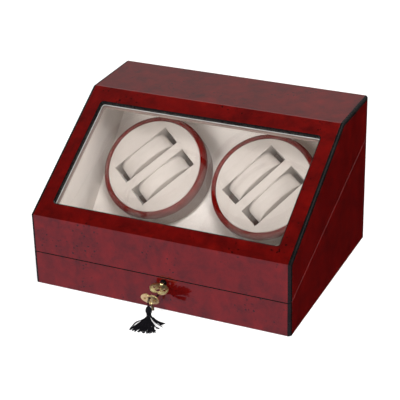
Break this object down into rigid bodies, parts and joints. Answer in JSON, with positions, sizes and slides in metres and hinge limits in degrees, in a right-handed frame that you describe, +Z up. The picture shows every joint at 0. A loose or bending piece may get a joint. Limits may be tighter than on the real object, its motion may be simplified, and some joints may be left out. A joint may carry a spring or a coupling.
{
  "type": "watch winder box",
  "caption": "Lacquered wooden watch winder box: hinged lid with a slanted glass window over two tilted motor turntables with watch pillows, lock, key and tassel.",
  "frame": {"origin": "middle of the underside felt, on the surface that the box stands on", "axes": "+Z up, +X to the right as seen by a person facing the window, -Y out of the front (key side)"},
  "size_m": [0.34, 0.3374, 0.1994],
  "materials": {
    "burl_lacquer": "high gloss red-brown burl veneer under clear lacquer",
    "black_lacquer": "gloss black lacquer",
    "suede": "warm beige short-pile suede cloth",
    "bare_board": "bare fibreboard",
    "felt": "black felt",
    "window_glass": "clear polished",
    "brass": "polished gold-coloured brass",
    "steel": "satin zinc-plated",
    "blackened_metal": "dark oxidised satin",
    "black_plastic": "moulded satin black",
    "circuit_board": "green solder mask",
    "black_thread": "black rayon thread"
  },
  "bodies": {
    "base": {"base_front_board": "burl_lacquer", "base_back_board": "burl_lacquer", "base_side_left": "burl_lacquer", "base_side_right": "burl_lacquer", "base_front_edge_left": "black_lacquer", "base_front_edge_right": "black_lacquer", "base_back_edge_left": "black_lacquer", "base_back_edge_right": "black_lacquer", "base_lining": "suede", "storage_tray": "suede", "turntable_panel": "suede", "bottom_board": "bare_board", "underside_felt": "felt", "hinge_base_leaf": "brass", "hinge_pin": "brass", "lock_case": "brass", "motor_left": "steel", "motor_right": "steel", "lock_escutcheon": "blackened_metal", "control_plate": "black_plastic", "power_socket": "black_plastic", "control_board": "circuit_board"},
    "lid": {"lid_front_board": "burl_lacquer", "window_board": "burl_lacquer", "lid_top_board": "burl_lacquer", "lid_back_board": "burl_lacquer", "lid_side_left": "burl_lacquer", "lid_side_right": "burl_lacquer", "lid_edge_left": "black_lacquer", "lid_edge_right": "black_lacquer", "lid_lining": "suede", "window_glass": "window_glass", "glass_bead": "suede", "hinge_lid_leaf": "brass", "lid_staple": "brass"},
    "turntable_left": {"drum_left": "burl_lacquer", "pad_left": "suede", "drive_shaft_left": "steel"},
    "turntable_right": {"drum_right": "burl_lacquer", "pad_right": "suede", "drive_shaft_right": "steel"},
    "watch_pillow_1": {"watch_pillow_1": "suede"},
    "watch_pillow_2": {"watch_pillow_2": "suede"},
    "watch_pillow_3": {"watch_pillow_3": "suede"},
    "watch_pillow_4": {"watch_pillow_4": "suede"},
    "storage_pillow_1": {"storage_pillow_1": "suede"},
    "storage_pillow_2": {"storage_pillow_2": "suede"},
    "storage_pillow_3": {"storage_pillow_3": "suede"},
    "storage_pillow_4": {"storage_pillow_4": "suede"},
    "storage_pillow_5": {"storage_pillow_5": "suede"},
    "storage_pillow_6": {"storage_pillow_6": "suede"},
    "lock_plug": {"lock_plug": "blackened_metal"},
    "lock_bolt": {"lock_bolt": "steel"},
    "key": {"key": "brass"},
    "tassel": {"tassel": "black_thread", "tassel_cord": "black_thread", "spare_key": "brass"},
    "power_rocker": {"power_rocker": "black_plastic"},
    "mode_knob_left": {"mode_knob_left": "black_plastic"},
    "mode_knob_right": {"mode_knob_right": "black_plastic"}
  },
  "joints": [
    {"name": "lid_hinge", "type": "hinge", "parent": "base", "child": "lid", "pos_m": [0, 0.1368, 0.1451], "axis": [-1, 0, 0], "range_deg": [0, 95]},
    {"name": "turntable_left_spin", "type": "hinge", "parent": "base", "child": "turntable_left", "pos_m": [-0.0752, 0.0173, 0.1108], "axis": [0, -0.7071, 0.7071], "continuous": true},
    {"name": "turntable_right_spin", "type": "hinge", "parent": "base", "child": "turntable_right", "pos_m": [0.0752, 0.0173, 0.1108], "axis": [0, -0.7071, 0.7071], "continuous": true},
    {"name": "watch_pillow_1_slide", "type": "slide", "parent": "turntable_left", "child": "watch_pillow_1", "axis": [0, -0.7071, 0.7071], "range_m": [0, 0.036]},
    {"name": "watch_pillow_2_slide", "type": "slide", "parent": "turntable_left", "child": "watch_pillow_2", "axis": [0, -0.7071, 0.7071], "range_m": [0, 0.036]},
    {"name": "watch_pillow_3_slide", "type": "slide", "parent": "turntable_right", "child": "watch_pillow_3", "axis": [0, -0.7071, 0.7071], "range_m": [0, 0.036]},
    {"name": "watch_pillow_4_slide", "type": "slide", "parent": "turntable_right", "child": "watch_pillow_4", "axis": [0, -0.7071, 0.7071], "range_m": [0, 0.036]},
    {"name": "storage_pillow_1_lift", "type": "slide", "parent": "base", "child": "storage_pillow_1", "axis": [0, 0, 1], "range_m": [0, 0.03]},
    {"name": "storage_pillow_2_lift", "type": "slide", "parent": "base", "child": "storage_pillow_2", "axis": [0, 0, 1], "range_m": [0, 0.03]},
    {"name": "storage_pillow_3_lift", "type": "slide", "parent": "base", "child": "storage_pillow_3", "axis": [0, 0, 1], "range_m": [0, 0.03]},
    {"name": "storage_pillow_4_lift", "type": "slide", "parent": "base", "child": "storage_pillow_4", "axis": [0, 0, 1], "range_m": [0, 0.03]},
    {"name": "storage_pillow_5_lift", "type": "slide", "parent": "base", "child": "storage_pillow_5", "axis": [0, 0, 1], "range_m": [0, 0.03]},
    {"name": "storage_pillow_6_lift", "type": "slide", "parent": "base", "child": "storage_pillow_6", "axis": [0, 0, 1], "range_m": [0, 0.03]},
    {"name": "lock_plug_turn", "type": "hinge", "parent": "base", "child": "lock_plug", "pos_m": [0.008, -0.1335, 0.038], "axis": [0, 1, 0], "range_deg": [0, 90]},
    {"name": "lock_bolt_shoot", "type": "slide", "parent": "base", "child": "lock_bolt", "axis": [1, 0, 0], "range_m": [0, 0.005]},
    {"name": "key_pull", "type": "slide", "parent": "lock_plug", "child": "key", "axis": [0, -1, 0], "range_m": [0, 0.016]},
    {"name": "tassel_hang", "type": "hinge", "parent": "key", "child": "tassel", "pos_m": [0.008, -0.1365, 0.038], "axis": [0, 1, 0], "range_deg": [-91, 0]},
    {"name": "power_rocker_tip", "type": "hinge", "parent": "base", "child": "power_rocker", "pos_m": [-0.012, 0.1335, 0.046], "axis": [1, 0, 0], "range_deg": [-8, 8]},
    {"name": "mode_knob_left_turn", "type": "hinge", "parent": "base", "child": "mode_knob_left", "pos_m": [0.013, 0.1335, 0.046], "axis": [0, 1, 0], "range_deg": [-135, 135]},
    {"name": "mode_knob_right_turn", "type": "hinge", "parent": "base", "child": "mode_knob_right", "pos_m": [0.036, 0.1335, 0.046], "axis": [0, 1, 0], "range_deg": [-135, 135]}
  ],
  "couplings": [
    {"joint": "lock_bolt_shoot", "follows": "lock_plug_turn", "m_per_rad": 0.00318},
    {"joint": "tassel_hang", "follows": "lock_plug_turn", "ratio": -1}
  ]
}
